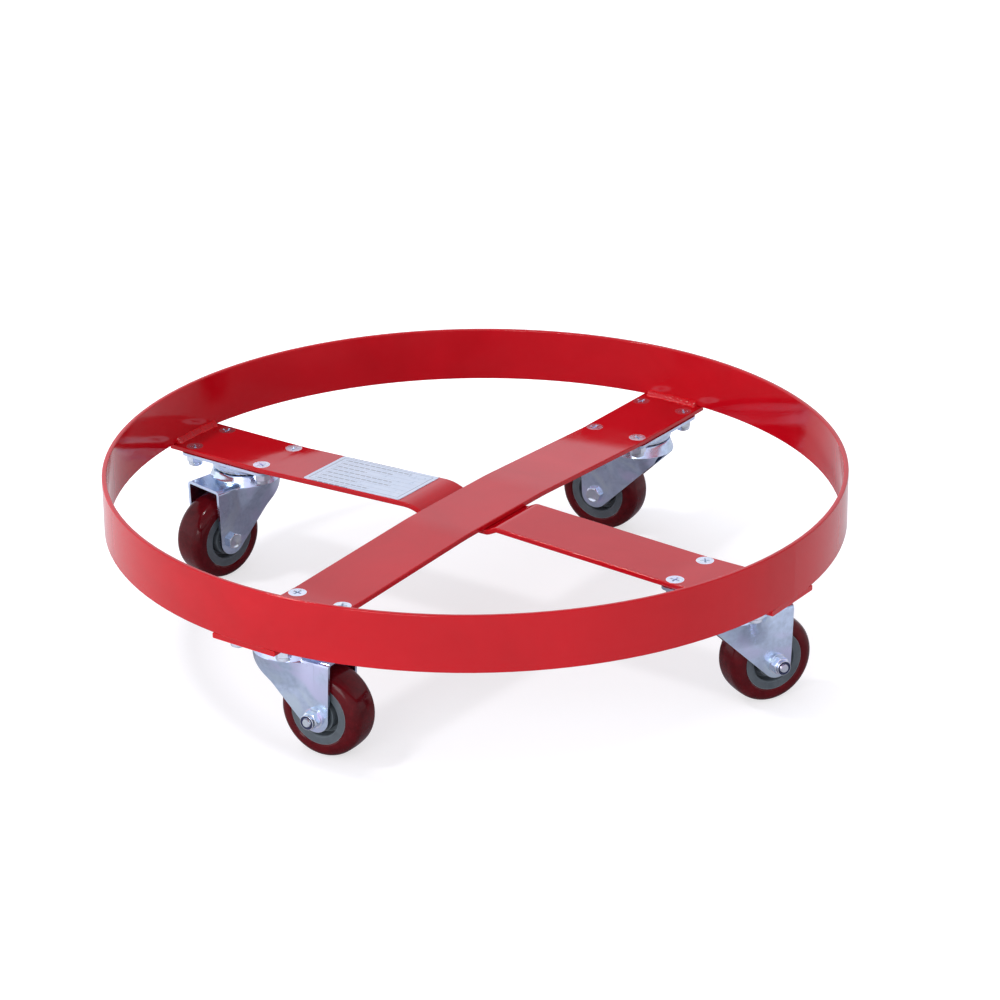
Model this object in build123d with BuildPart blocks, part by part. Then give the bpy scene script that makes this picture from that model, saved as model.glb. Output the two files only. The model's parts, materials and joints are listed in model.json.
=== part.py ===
"""Open round drum dolly: a flat-steel ring on two crossed bars, with four swivel casters.

Origin: on the floor, under the centre of the ring. +Z is up, the joggled crossbar lies along X and
the straight crossbar along Y. All sizes are in millimetres.
"""

import os
from math import asin, atan2, cos, degrees, pi, radians, sin, sqrt

from build123d import *

os.makedirs("parts", exist_ok=True)

# ---------------------------------------------------------------- driving dimensions
# ring
ring_outer_radius = 310.0
ring_thickness = 4.0
ring_height = 48.0
ring_edge_round = 1.2

# crossbars
bar_width = 61.5
bar_thickness = 4.5
bar_edge_round = 0.9
bar_crown = 6.0  # how far the middle of the bars stands above their ends
bar_level_end = 105.0  # length of each bar, in from the ring's outer face, that is level
bar_level_middle = 56.0  # half length of the level stretch in the straight bar's middle
crown_bend_radius = 400.0
joggle_bend_radius = 9.0
joggle_gap = 1.5  # from the edge of the straight bar to the foot of each joggle
steep_joggle_run = 9.0
gentle_joggle_run = 13.0
gentle_joggle_radius = 38.0

# data plate
label_length = 102.5
label_thickness = 0.5
label_margin = 1.75  # from its long edges to the edges of the bar
label_setback = 13.75  # from its inner end to the top of the gentle joggle
label_corner = 2.0

# weld beads
weld_leg = 4.5
weld_end_margin = 4.0
crossing_weld_leg = 3.5

# caster name: place round the ring, and the direction in which its wheel trails
caster_places = {
    "front_right": (0.0, 62.0),
    "back_right": (90.0, 186.0),
    "back_left": (180.0, 260.0),
    "front_left": (270.0, 4.0),
}
caster_inset = 60.0  # from the ring's outer face in to the swivel axis

# caster top plates
plate_length = 95.0
plate_overhang = 1.25  # beyond each edge of the bar
plate_thickness = 2.5
plate_corner = 7.0
plate_bolt_pitch_along = 75.0
bolt_edge_distance = 8.25  # from each bolt's axis to the edge of the bar

# screws, bolts and lock nuts (M8)
screw_radius = 4.0
screw_hole_clearance = 0.25
screw_head_rim = 3.4  # how far a countersunk head stands out beyond its shank
screw_protrusion = 1.5  # beyond the lock nut
countersink_angle = 90
recess_width = 1.7
recess_span = 8.4
recess_depth = 2.4
recess_taper = 12
recess_turn = 37  # from one screw to the next
nut_wall = 2.5
nut_hex_height = 6.5
nut_collar_height = 3.0
nut_collar_wall = 2.2
nut_chamfer = 0.8

# swivel races, balls and kingpin
race_skirt_radius = 28.5
race_gap = 1.6  # between the top plate's race and the fork's crown
race_skirt_drop = 7.7  # from the plate's underside down to the race
race_wall = 2.5  # left round the upper balls
ball_clearance = 0.03
ball_spacing = 0.9
upper_ball_radius = 3.0
upper_ball_inset = 6.0  # from the crown's rim in to the circle of balls
lower_ball_radius = 2.5
lower_ball_circle = 14.2
lower_groove_depth = 0.7
lower_race_rim = 1.3  # beyond the lower balls
lower_race_thickness = 3.0
lower_race_gap = 2.8
kingpin_radius = 6.0
kingpin_shoulder = 1.5
kingpin_head_rim = 3.5
kingpin_head_height = 2.8
kingpin_clearance = 1.7

# fork
fork_sheet = 2.5
fork_bend_radius = 4.0
wheel_side_gap = 2.0
wheel_headroom = 9.5
trail = 34.0
fork_eye_radius = 12.8
fork_back_margin = 1.7  # trailing edge beyond the eye
fork_leg_start = -14.0  # the flat legs reach forward to here, and the shoulders go on
crown_rim_step = 0.5  # crown's rim inside the race's skirt
crown_rise = 6.2  # crown above the shelf
crown_flare = 3.0
crown_flare_drop = 9.7
crown_edge_round = 1.4
shoulder_drop = 31.2  # from the crown down to where its shoulders meet the legs

# wheel
wheel_radius = 37.5
tread_width = 32.0
tread_crown = 1.5
tread_shoulder_share = 0.947  # its radius, as a share of the height of the tyre's sides
tyre_lip = 1.2
core_rim_depth = 7.1
core_recess_width = 4.2
core_web_width = 13.0
core_boss_wall = 3.0
core_face_step = 1.0  # core's faces inside the tyre's
core_lip = 0.8
core_shoulder = 1.5  # what stops each bearing

# wheel bearings
bearing_outer_radius = 11.0
bearing_inner_wall = 2.0
bearing_outer_wall = 2.1
bearing_groove_depth = 0.55
bearing_ball_count = 7
bearing_ball_side_gap = 0.75
bearing_shield_thickness = 0.5
bearing_shield_inset = 0.25
bearing_shield_gap = 0.4
bearing_inset = 1.2  # outer face of the bearing below the end of the core's boss

# axle
axle_hole_clearance = 0.1
axle_head_height = 4.0
axle_protrusion = 0.8  # beyond the lock nut
washer_rim = 4.5
washer_thickness = 1.4

# ---------------------------------------------------------------- sizes worked out from them
ring_inner_radius = ring_outer_radius - ring_thickness
bar_half_width = bar_width / 2
bar_half_length = sqrt(ring_outer_radius**2 - bar_half_width**2)
bar_flat_end = ring_outer_radius - bar_level_end
joggle_foot = bar_half_width + joggle_gap
gentle_joggle_top = joggle_foot + gentle_joggle_run
steep_joggle_top = joggle_foot + steep_joggle_run
caster_radius = ring_outer_radius - caster_inset
plate_width = bar_width + 2 * plate_overhang
plate_bolt_pitch_across = bar_width - 2 * bolt_edge_distance

nut_height = nut_hex_height + nut_collar_height
nut_flat_radius = screw_radius + nut_wall
nut_corner_radius = nut_flat_radius * 2 / sqrt(3)
nut_collar_radius = screw_radius + nut_collar_wall
screw_head_radius = screw_radius + screw_head_rim
screw_length = bar_thickness + plate_thickness + nut_height + screw_protrusion

# heights, from the floor up
axle_height = wheel_radius
shelf_underside = 2 * wheel_radius + wheel_headroom
fork_shelf_height = shelf_underside + fork_sheet
crown_top = fork_shelf_height + crown_rise
crown_underside = crown_top - fork_sheet
crown_flare_height = crown_top - crown_flare_drop
shoulder_foot_height = crown_top - shoulder_drop
race_underside = crown_top + race_gap
plate_underside = race_underside + race_skirt_drop
caster_height = plate_underside + plate_thickness
bar_end_top = caster_height + bar_thickness
bar_middle_top = bar_end_top + bar_crown
crossing_top = bar_middle_top - bar_thickness  # top of the joggled bar under the straight one
upper_ball_height = (race_underside + crown_top) / 2
lower_ball_height = crown_underside + lower_groove_depth - lower_ball_radius
lower_race_top = crown_underside - lower_race_gap
lower_race_underside = lower_race_top - lower_race_thickness

# radii about the swivel axis
crown_radius = race_skirt_radius - crown_rim_step
crown_flare_radius = crown_radius + crown_flare
upper_ball_circle = crown_radius - upper_ball_inset
bulge_radius = upper_ball_radius + race_wall
lower_race_radius = lower_ball_circle + lower_ball_radius + lower_race_rim
kingpin_shoulder_radius = kingpin_radius + kingpin_shoulder
kingpin_head_radius = kingpin_radius + kingpin_head_rim
crown_hole_radius = kingpin_shoulder_radius + kingpin_clearance

# distances along the axle, from the middle of the wheel
fork_half_gap = tread_width / 2 + wheel_side_gap
fork_half_width = fork_half_gap + fork_sheet
fork_trailing_edge = trail + fork_eye_radius + fork_back_margin
washer_face = fork_half_width + washer_thickness
axle_tail = washer_face + nut_height + axle_protrusion
core_face = tread_width / 2 - core_face_step
bearing_inner_ring_radius = screw_radius + bearing_inner_wall
bearing_outer_ring_bore = bearing_outer_radius - bearing_outer_wall
bearing_shield_bore = bearing_inner_ring_radius + bearing_shield_gap
bearing_ball_circle = (bearing_inner_ring_radius + bearing_outer_ring_bore) / 2
bearing_ball_radius = bearing_outer_ring_bore - bearing_ball_circle + bearing_groove_depth
bearing_shield_depth = bearing_shield_inset + bearing_shield_thickness
bearing_width = 2 * (bearing_ball_radius + bearing_ball_side_gap + bearing_shield_depth)
bearing_outer_face = core_face - bearing_inset
bearing_inner_face = bearing_outer_face - bearing_width

# radii about the axle
core_boss_radius = bearing_outer_radius + core_boss_wall
core_rim_inner_radius = core_boss_radius + core_recess_width
core_radius = core_rim_inner_radius + core_rim_depth
core_bore_radius = bearing_outer_radius - core_shoulder
tread_edge = wheel_radius - tread_crown
tread_shoulder = tread_shoulder_share * (tread_edge - core_radius - tyre_lip)


# ---------------------------------------------------------------- helpers
def direction(angle):
    """Unit vector on the floor at this angle from +X, in degrees."""
    return Vector(cos(radians(angle)), sin(radians(angle)), 0)


def caster_location(place, turn):
    """Swivel axis of the caster at this angle round the ring, turned so that X points along turn."""
    centre = direction(place) * caster_radius
    return Location((centre.X, centre.Y, 0), (0, 0, turn))


def screw_locations(places, height):
    """Plate screws of the casters at these places; each screw's recess is turned its own way."""
    spots = []
    for place in places:
        for a in (-plate_bolt_pitch_along / 2, plate_bolt_pitch_along / 2):
            for b in (-plate_bolt_pitch_across / 2, plate_bolt_pitch_across / 2):
                spot = Location((a, b, height), (0, 0, recess_turn * len(spots)))
                spots.append(caster_location(place, place) * spot)
    return spots


def sloped_bar_height(distance):
    """Height of the sloping stretch of a bar's top face at this distance from the centre."""
    share = (bar_flat_end - distance) / (bar_flat_end - bar_level_middle)
    return bar_end_top + bar_crown * share


def balls_that_fit(circle, radius):
    """How many balls of this radius go round a circle, with a gap between them."""
    return int(2 * pi * circle / (2 * radius + ball_spacing))


def write(piece, name):
    """Labels a finished piece and writes it to its own file."""
    piece.label = name
    export_step(piece, f"parts/{name}.step")


# ---------------------------------------------------------------- ring
with BuildPart() as ring:
    with BuildSketch(Plane.XZ):
        with Locations(((ring_inner_radius + ring_outer_radius) / 2, bar_end_top + ring_height / 2)):
            Rectangle(ring_thickness, ring_height)
        fillet(vertices(), ring_edge_round)
    revolve(axis=Axis.Z)
write(ring.part, "ring")

# ---------------------------------------------------------------- crossbars
with BuildPart() as straight_crossbar:
    with BuildSketch(Plane.YZ):
        with BuildLine():
            FilletPolyline(
                (-bar_half_length, bar_end_top),
                (-bar_flat_end, bar_end_top),
                (-bar_level_middle, bar_middle_top),
                (bar_level_middle, bar_middle_top),
                (bar_flat_end, bar_end_top),
                (bar_half_length, bar_end_top),
                radius=crown_bend_radius,
            )
            offset(amount=bar_thickness, side=Side.RIGHT)
        make_face()
    extrude(amount=bar_half_width, both=True)
    side_edges = edges().filter_by(Axis.X, reverse=True).filter_by(Axis.Z, reverse=True)
    fillet(side_edges, bar_edge_round)
    with Locations(screw_locations((90, 270), bar_end_top)):
        CounterSinkHole(
            screw_radius + screw_hole_clearance, screw_head_radius, counter_sink_angle=countersink_angle
        )
write(straight_crossbar.part, "straight_crossbar")

joggled_path = [
    (-bar_half_length, bar_end_top),
    (-bar_flat_end, bar_end_top),
    (-gentle_joggle_top, sloped_bar_height(gentle_joggle_top)),
    (-joggle_foot, crossing_top),
    (joggle_foot, crossing_top),
    (steep_joggle_top, bar_middle_top),
    (bar_flat_end, bar_end_top),
    (bar_half_length, bar_end_top),
]
joggled_path_radii = [
    crown_bend_radius,
    gentle_joggle_radius,
    joggle_bend_radius,
    joggle_bend_radius,
    joggle_bend_radius,
    crown_bend_radius,
]
with BuildPart() as joggled_crossbar:
    with BuildSketch(Plane.XZ):
        with BuildLine():
            FilletPolyline(*joggled_path, radius=joggled_path_radii)
            offset(amount=bar_thickness, side=Side.RIGHT)
        make_face()
    extrude(amount=bar_half_width, both=True)
    side_edges = edges().filter_by(Axis.Y, reverse=True).filter_by(Axis.Z, reverse=True)
    fillet(side_edges, bar_edge_round)
    with Locations(screw_locations((0, 180), bar_end_top)):
        CounterSinkHole(
            screw_radius + screw_hole_clearance, screw_head_radius, counter_sink_angle=countersink_angle
        )
write(joggled_crossbar.part, "joggled_crossbar")

# ---------------------------------------------------------------- data plate, on the joggled bar's -X half
with BuildPart() as data_plate:
    with BuildSketch(Plane.XY.offset(caster_height)):
        with Locations((-gentle_joggle_top - label_setback, 0)):
            RectangleRounded(
                label_length, bar_width - 2 * label_margin, label_corner, align=(Align.MAX, Align.CENTER)
            )
    extrude(amount=ring_height)
    # only a skin of it stays, over the top face of the bar
    with BuildSketch(Plane.XZ):
        with BuildLine():
            FilletPolyline(*joggled_path, radius=joggled_path_radii)
            offset(amount=label_thickness, side=Side.LEFT)
        make_face()
    extrude(amount=bar_half_width, both=True, mode=Mode.INTERSECT)
write(data_plate.part, "data_plate")

# ---------------------------------------------------------------- weld beads
bead_half_angle = degrees(asin((bar_half_width - weld_end_margin) / ring_inner_radius))
with BuildPart() as weld_beads:
    # a fillet bead inside the ring on top of each bar end, curved with the ring
    for place in (0, 90, 180, 270):
        start = direction(place - bead_half_angle)
        bead_plane = Plane(origin=(0, 0, 0), x_dir=start, z_dir=start.cross(Vector(0, 0, 1)))
        with BuildSketch(bead_plane):
            with BuildLine():
                corner = (ring_inner_radius, bar_end_top)
                foot = (ring_inner_radius - weld_leg, bar_end_top)
                top = (ring_inner_radius, bar_end_top + weld_leg)
                Polyline(foot, corner, top)
                RadiusArc(top, foot, -2 * weld_leg)
            make_face()
        revolve(axis=Axis.Z, revolution_arc=2 * bead_half_angle)
    # a straight bead on each side of the joggled bar, under the straight bar
    for side in (-1, 1):
        with BuildSketch(Plane.YZ.offset(-bar_half_width + weld_end_margin)):
            with BuildLine():
                corner = (side * bar_half_width, crossing_top)
                foot = (side * bar_half_width, crossing_top - crossing_weld_leg)
                toe = (side * (bar_half_width + crossing_weld_leg), crossing_top)
                Polyline(corner, foot, toe, close=True)
            make_face()
        extrude(amount=bar_width - 2 * weld_end_margin)
write(weld_beads.part, "weld_beads")

# ---------------------------------------------------------------- screws, nuts and kingpins
with BuildPart() as plate_screw:
    with BuildSketch(Plane.XZ):
        with BuildLine():
            Polyline(
                (0, 0),
                (screw_head_radius, 0),
                (screw_radius, -screw_head_rim),
                (screw_radius, -screw_length + nut_chamfer),
                (screw_radius - nut_chamfer, -screw_length),
                (0, -screw_length),
                close=True,
            )
        make_face()
    revolve(axis=Axis.Z)
    with BuildSketch(Plane.XY):
        Rectangle(recess_span, recess_width)
        Rectangle(recess_width, recess_span)
    extrude(amount=-recess_depth, taper=recess_taper, mode=Mode.SUBTRACT)

with BuildPart() as plate_screws:
    with Locations(screw_locations((0, 90, 180, 270), bar_end_top)):
        add(plate_screw.part)
write(plate_screws.part, "plate_screws")

# lock nut, standing on the floor plane with its collar upwards
with BuildPart() as lock_nut:
    with BuildSketch(Plane.XY):
        RegularPolygon(nut_flat_radius, 6, major_radius=False)
    extrude(amount=nut_height)
    with BuildSketch(Plane.XZ):
        with BuildLine():
            Polyline(
                (screw_radius, 0),
                (nut_corner_radius - nut_chamfer, 0),
                (nut_corner_radius, nut_chamfer / 2),
                (nut_corner_radius, nut_hex_height - nut_chamfer / 2),
                (nut_corner_radius - nut_chamfer, nut_hex_height),
                (nut_collar_radius, nut_hex_height),
                (nut_collar_radius, nut_height - nut_chamfer),
                (nut_collar_radius - nut_chamfer, nut_height),
                (screw_radius, nut_height),
                close=True,
            )
        make_face()
    revolve(axis=Axis.Z, mode=Mode.INTERSECT)

with BuildPart() as plate_nuts:
    for seat in screw_locations((0, 90, 180, 270), plate_underside):
        with Locations(seat * Location((0, 0, 0), (180, 0, 0))):
            add(lock_nut.part)
write(plate_nuts.part, "plate_nuts")

with BuildPart() as kingpin:
    with BuildSketch(Plane.XZ):
        with BuildLine():
            dish_floor = race_underside + plate_thickness
            lower_head = lower_race_underside - kingpin_head_height
            Polyline(
                (0, lower_head),
                (kingpin_head_radius - nut_chamfer, lower_head),
                (kingpin_head_radius, lower_head + nut_chamfer),
                (kingpin_head_radius, lower_race_underside),
                (kingpin_radius, lower_race_underside),
                (kingpin_radius, lower_race_top),
                (kingpin_shoulder_radius, lower_race_top),
                (kingpin_shoulder_radius, race_underside),
                (kingpin_radius, race_underside),
                (kingpin_radius, dish_floor),
                (kingpin_head_radius, dish_floor),
                (kingpin_head_radius, dish_floor + kingpin_head_height),
                (0, dish_floor + kingpin_head_height),
                close=True,
            )
        make_face()
    revolve(axis=Axis.Z)

with BuildPart() as kingpins:
    with Locations([caster_location(place, 0) for place in (0, 90, 180, 270)]):
        add(kingpin.part)
write(kingpins.part, "kingpins")

# ---------------------------------------------------------------- caster, swivel axis on Z and trail along +X
with BuildPart() as top_plate:
    with BuildSketch(Plane.XY.offset(plate_underside)):
        RectangleRounded(plate_length, plate_width, plate_corner)
        with GridLocations(plate_bolt_pitch_along, plate_bolt_pitch_across, 2, 2):
            Circle(screw_radius + screw_hole_clearance, mode=Mode.SUBTRACT)
    extrude(amount=plate_thickness)
    # drawn race: a dish that hangs below the plate
    with BuildSketch(Plane.XZ):
        with BuildLine():
            Polyline(
                (0, race_underside),
                (race_skirt_radius - crown_edge_round, race_underside),
                (race_skirt_radius, race_underside + crown_edge_round),
                (race_skirt_radius, plate_underside - plate_thickness),
                (race_skirt_radius + plate_thickness, plate_underside),
                (0, plate_underside),
                close=True,
            )
        make_face()
    revolve(axis=Axis.Z)
    with BuildSketch(Plane.XZ):
        with BuildLine():
            dish_radius = race_skirt_radius - plate_thickness
            Polyline(
                (0, race_underside + plate_thickness),
                (dish_radius, race_underside + plate_thickness),
                (dish_radius, caster_height),
                (0, caster_height),
                close=True,
            )
        make_face()
    revolve(axis=Axis.Z, mode=Mode.SUBTRACT)
    # the sheet rises over the balls, and a groove holds them
    with BuildSketch(Plane.XZ):
        with Locations((upper_ball_circle, upper_ball_height)):
            Circle(bulge_radius)
        with Locations((upper_ball_circle, race_underside)):
            Rectangle(2 * bulge_radius, bulge_radius, align=(Align.CENTER, Align.MIN), mode=Mode.INTERSECT)
    revolve(axis=Axis.Z)
    with BuildSketch(Plane.XZ):
        with Locations((upper_ball_circle, upper_ball_height)):
            Circle(upper_ball_radius + ball_clearance)
    revolve(axis=Axis.Z, mode=Mode.SUBTRACT)
    with BuildSketch(Plane.XY.offset(race_underside)):
        Circle(kingpin_radius)
    extrude(amount=plate_thickness, mode=Mode.SUBTRACT)

with BuildPart() as lower_race:
    with BuildSketch(Plane.XZ):
        with Locations(((kingpin_radius + lower_race_radius) / 2, lower_race_top - lower_race_thickness / 2)):
            Rectangle(lower_race_radius - kingpin_radius, lower_race_thickness)
        with Locations((lower_ball_circle, lower_ball_height)):
            Circle(lower_ball_radius + ball_clearance, mode=Mode.SUBTRACT)
    revolve(axis=Axis.Z)

with BuildPart() as swivel_balls:
    with Locations((0, 0, upper_ball_height)):
        with PolarLocations(upper_ball_circle, balls_that_fit(upper_ball_circle, upper_ball_radius)):
            Sphere(upper_ball_radius)
    with Locations((0, 0, lower_ball_height)):
        with PolarLocations(lower_ball_circle, balls_that_fit(lower_ball_circle, lower_ball_radius)):
            Sphere(lower_ball_radius)

shoulder_lean = atan2(crown_flare_radius - fork_half_width, crown_flare_height - shoulder_foot_height)
crown_wall = fork_sheet / cos(shoulder_lean)
with BuildPart() as fork:
    # the bent sheet: a channel with its back as the shelf
    with BuildSketch(Plane.YZ.offset(fork_leg_start)):
        with Locations((0, fork_shelf_height / 2)):
            Rectangle(2 * fork_half_width, fork_shelf_height)
        fillet(vertices().group_by(Axis.Y)[-1], fork_bend_radius)
    extrude(amount=fork_trailing_edge - fork_leg_start)
    # the round crown, and the shoulders that run from it down into the legs
    with BuildSketch(Plane.XZ):
        with BuildLine():
            Polyline(
                (0, shoulder_foot_height),
                (fork_half_width, shoulder_foot_height),
                (crown_flare_radius, crown_flare_height),
                (crown_radius, crown_top - crown_edge_round),
                (crown_radius - crown_edge_round, crown_top),
                (0, crown_top),
                close=True,
            )
        make_face()
    revolve(axis=Axis.Z)
    # side outline: the sheet tapers to a round eye at the axle
    with BuildSketch(Plane.XZ):
        with Locations((trail, axle_height)):
            Circle(fork_eye_radius)
        with Locations(((fork_trailing_edge - crown_flare_radius) / 2, (crown_flare_height + crown_top) / 2)):
            Rectangle(fork_trailing_edge + crown_flare_radius, crown_top - crown_flare_height)
        make_hull()
    extrude(amount=crown_flare_radius, both=True, mode=Mode.INTERSECT)
    # hollow between the legs and under the crown
    with BuildSketch(Plane.YZ.offset(-crown_flare_radius)):
        with Locations((0, shelf_underside / 2)):
            Rectangle(2 * fork_half_gap, shelf_underside)
        fillet(vertices().group_by(Axis.Y)[-1], fork_bend_radius - fork_sheet)
    extrude(amount=2 * fork_trailing_edge, mode=Mode.SUBTRACT)
    with BuildSketch(Plane.XZ):
        with BuildLine():
            Polyline(
                (0, shoulder_foot_height),
                (fork_half_width - crown_wall, shoulder_foot_height),
                (crown_flare_radius - crown_wall, crown_flare_height),
                (crown_radius - crown_wall, crown_underside),
                (0, crown_underside),
                close=True,
            )
        make_face()
    revolve(axis=Axis.Z, mode=Mode.SUBTRACT)
    # ball grooves, the upper one with the sheet bulging below it
    with BuildSketch(Plane.XZ):
        with Locations((upper_ball_circle, upper_ball_height)):
            Circle(bulge_radius)
        with Locations((upper_ball_circle, crown_top)):
            Rectangle(2 * bulge_radius, bulge_radius, align=(Align.CENTER, Align.MAX), mode=Mode.INTERSECT)
    revolve(axis=Axis.Z)
    with BuildSketch(Plane.XZ):
        with Locations((upper_ball_circle, upper_ball_height)):
            Circle(upper_ball_radius + ball_clearance)
        with Locations((lower_ball_circle, lower_ball_height)):
            Circle(lower_ball_radius + ball_clearance)
    revolve(axis=Axis.Z, mode=Mode.SUBTRACT)
    with BuildSketch(Plane.XY.offset(crown_top)):
        Circle(crown_hole_radius)
    extrude(amount=-fork_sheet, mode=Mode.SUBTRACT)
    with BuildSketch(Plane.XZ):
        with Locations((trail, axle_height)):
            Circle(screw_radius + axle_hole_clearance)
    extrude(amount=2 * fork_half_width, both=True, mode=Mode.SUBTRACT)

# ---------------------------------------------------------------- wheel
axle_centre = (trail, 0, axle_height)
wheel_axis = Axis(axle_centre, (0, 1, 0))
wheel_section = Plane(origin=axle_centre, x_dir=(0, 1, 0), z_dir=(1, 0, 0))
axle_plane = Plane(origin=axle_centre, x_dir=(0, 0, 1), z_dir=(0, 1, 0))

with BuildPart() as tyre:
    with BuildSketch(wheel_section):
        with BuildLine():
            ThreePointArc((-tread_width / 2, tread_edge), (0, wheel_radius), (tread_width / 2, tread_edge))
            Polyline(
                (tread_width / 2, tread_edge),
                (tread_width / 2, core_radius + tyre_lip),
                (core_face, core_radius),
                (-core_face, core_radius),
                (-tread_width / 2, core_radius + tyre_lip),
                (-tread_width / 2, tread_edge),
            )
        make_face()
        fillet(vertices().group_by(Axis.Y)[-1], tread_shoulder)
    revolve(axis=wheel_axis)

with BuildPart() as core:
    with BuildSketch(wheel_section):
        with BuildLine():
            Polyline(
                (0, core_radius),
                (core_face, core_radius),
                (core_face, core_rim_inner_radius + core_lip),
                (core_face - core_lip, core_rim_inner_radius),
                (core_web_width / 2, core_rim_inner_radius - core_lip),
                (core_web_width / 2, core_boss_radius + core_lip),
                (core_face, core_boss_radius),
                (core_face, bearing_outer_radius),
                (bearing_inner_face, bearing_outer_radius),
                (bearing_inner_face, core_bore_radius),
                (0, core_bore_radius),
            )
            mirror(about=Plane.YZ)
        make_face()
    revolve(axis=wheel_axis)

bearing_middle = (bearing_inner_face + bearing_outer_face) / 2
with BuildPart() as bearing_outer_rings:
    with BuildSketch(wheel_section):
        for side in (-1, 1):
            with Locations((side * bearing_middle, (bearing_outer_ring_bore + bearing_outer_radius) / 2)):
                Rectangle(bearing_width, bearing_outer_radius - bearing_outer_ring_bore)
            shield_middle = bearing_width / 2 - bearing_shield_depth + bearing_shield_thickness / 2
            for end in (-1, 1):
                with Locations((side * bearing_middle + end * shield_middle, bearing_shield_bore)):
                    Rectangle(
                        bearing_shield_thickness,
                        bearing_outer_radius - bearing_shield_bore,
                        align=(Align.CENTER, Align.MIN),
                    )
            with Locations((side * bearing_middle, bearing_ball_circle)):
                Circle(bearing_ball_radius + ball_clearance, mode=Mode.SUBTRACT)
    revolve(axis=wheel_axis)

with BuildPart() as bearing_inner_rings:
    with BuildSketch(wheel_section):
        for side in (-1, 1):
            with Locations((side * bearing_middle, (screw_radius + bearing_inner_ring_radius) / 2)):
                Rectangle(bearing_width, bearing_inner_ring_radius - screw_radius)
            with Locations((side * bearing_middle, bearing_ball_circle)):
                Circle(bearing_ball_radius + ball_clearance, mode=Mode.SUBTRACT)
    revolve(axis=wheel_axis)

with BuildPart() as bearing_balls:
    for side in (-1, 1):
        with Locations(axle_plane.offset(side * bearing_middle)):
            with PolarLocations(bearing_ball_circle, bearing_ball_count):
                Sphere(bearing_ball_radius)

with BuildPart() as axle_sleeves:
    with BuildSketch(wheel_section):
        # spacer between the inner rings, then a collar from each bearing out to its leg
        for start, end in (
            (-bearing_inner_face, bearing_inner_face),
            (bearing_outer_face, fork_half_gap),
            (-fork_half_gap, -bearing_outer_face),
        ):
            with Locations(((start + end) / 2, (screw_radius + bearing_inner_ring_radius) / 2)):
                Rectangle(end - start, bearing_inner_ring_radius - screw_radius)
    revolve(axis=wheel_axis)

with BuildPart() as axle_bolt:
    with BuildSketch(axle_plane.offset(-axle_tail)):
        Circle(screw_radius)
    extrude(amount=axle_tail + fork_half_width)
    chamfer(edges().group_by(Axis.Y)[0], nut_chamfer)
    with BuildSketch(axle_plane.offset(fork_half_width)):
        RegularPolygon(nut_flat_radius, 6, major_radius=False)
    extrude(amount=axle_head_height)

with BuildPart() as axle_washer:
    with BuildSketch(axle_plane.offset(-washer_face)):
        Circle(screw_radius + washer_rim)
        Circle(screw_radius, mode=Mode.SUBTRACT)
    extrude(amount=washer_thickness)

with BuildPart() as axle_nut:
    with Locations(Plane(origin=(trail, -washer_face, axle_height), x_dir=(0, 0, 1), z_dir=(0, -1, 0))):
        add(lock_nut.part)

# ---------------------------------------------------------------- the four casters
fixed_pieces = {"top_plate": top_plate, "lower_race": lower_race}
swivelling_pieces = {
    "swivel_balls": swivel_balls,
    "fork": fork,
    "axle_bolt": axle_bolt,
    "axle_washer": axle_washer,
    "axle_nut": axle_nut,
    "axle_sleeves": axle_sleeves,
    "bearing_inner_rings": bearing_inner_rings,
    "bearing_balls": bearing_balls,
    "bearing_outer_rings": bearing_outer_rings,
    "wheel_core": core,
    "tyre": tyre,
}

for caster, (place, turn) in caster_places.items():
    for pieces, angle in ((fixed_pieces, place), (swivelling_pieces, turn)):
        for piece_name, pattern in pieces.items():
            with BuildPart() as piece:
                with Locations(caster_location(place, angle)):
                    add(pattern.part)
            write(piece.part, f"{caster}_{piece_name}")
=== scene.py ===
"""Looks of the open round drum dolly: enamelled ring and crossed bars on four zinc-plated casters.

Everything is in metres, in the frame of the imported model: +Z up, floor at zero, ring centred on Z.
"""

import json
from math import cos, pi, radians, sin

import bmesh
import bpy
import numpy as np
from mathutils import Matrix, Vector

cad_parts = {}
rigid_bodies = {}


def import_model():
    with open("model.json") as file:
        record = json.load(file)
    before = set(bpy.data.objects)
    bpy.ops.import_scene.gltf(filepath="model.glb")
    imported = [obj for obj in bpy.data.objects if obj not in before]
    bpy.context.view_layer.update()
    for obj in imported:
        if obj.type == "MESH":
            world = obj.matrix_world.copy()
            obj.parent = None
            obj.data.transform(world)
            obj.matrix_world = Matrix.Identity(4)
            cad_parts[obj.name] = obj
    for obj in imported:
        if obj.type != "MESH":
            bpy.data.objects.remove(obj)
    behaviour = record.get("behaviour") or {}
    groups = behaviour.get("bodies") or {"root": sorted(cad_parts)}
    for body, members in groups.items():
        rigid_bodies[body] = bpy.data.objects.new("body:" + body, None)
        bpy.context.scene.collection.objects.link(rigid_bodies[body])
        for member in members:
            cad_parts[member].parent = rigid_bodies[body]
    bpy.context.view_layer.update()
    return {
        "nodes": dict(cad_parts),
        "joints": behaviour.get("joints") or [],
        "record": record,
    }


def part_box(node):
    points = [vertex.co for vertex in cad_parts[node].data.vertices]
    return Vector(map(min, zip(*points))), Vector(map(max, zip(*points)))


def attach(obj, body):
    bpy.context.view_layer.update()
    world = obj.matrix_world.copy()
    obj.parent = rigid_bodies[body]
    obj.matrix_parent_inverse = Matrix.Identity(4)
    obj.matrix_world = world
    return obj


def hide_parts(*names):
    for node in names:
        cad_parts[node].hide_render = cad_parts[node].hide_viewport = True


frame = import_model()

MM = 0.001

# camera
camera_azimuth = 35.47
camera_elevation = 23.23
camera_distance = 2.9005
camera_roll = -0.48
camera_lens = 125.31
look_at = Vector((0.0244, 0.0007, 0.1251))

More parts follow.
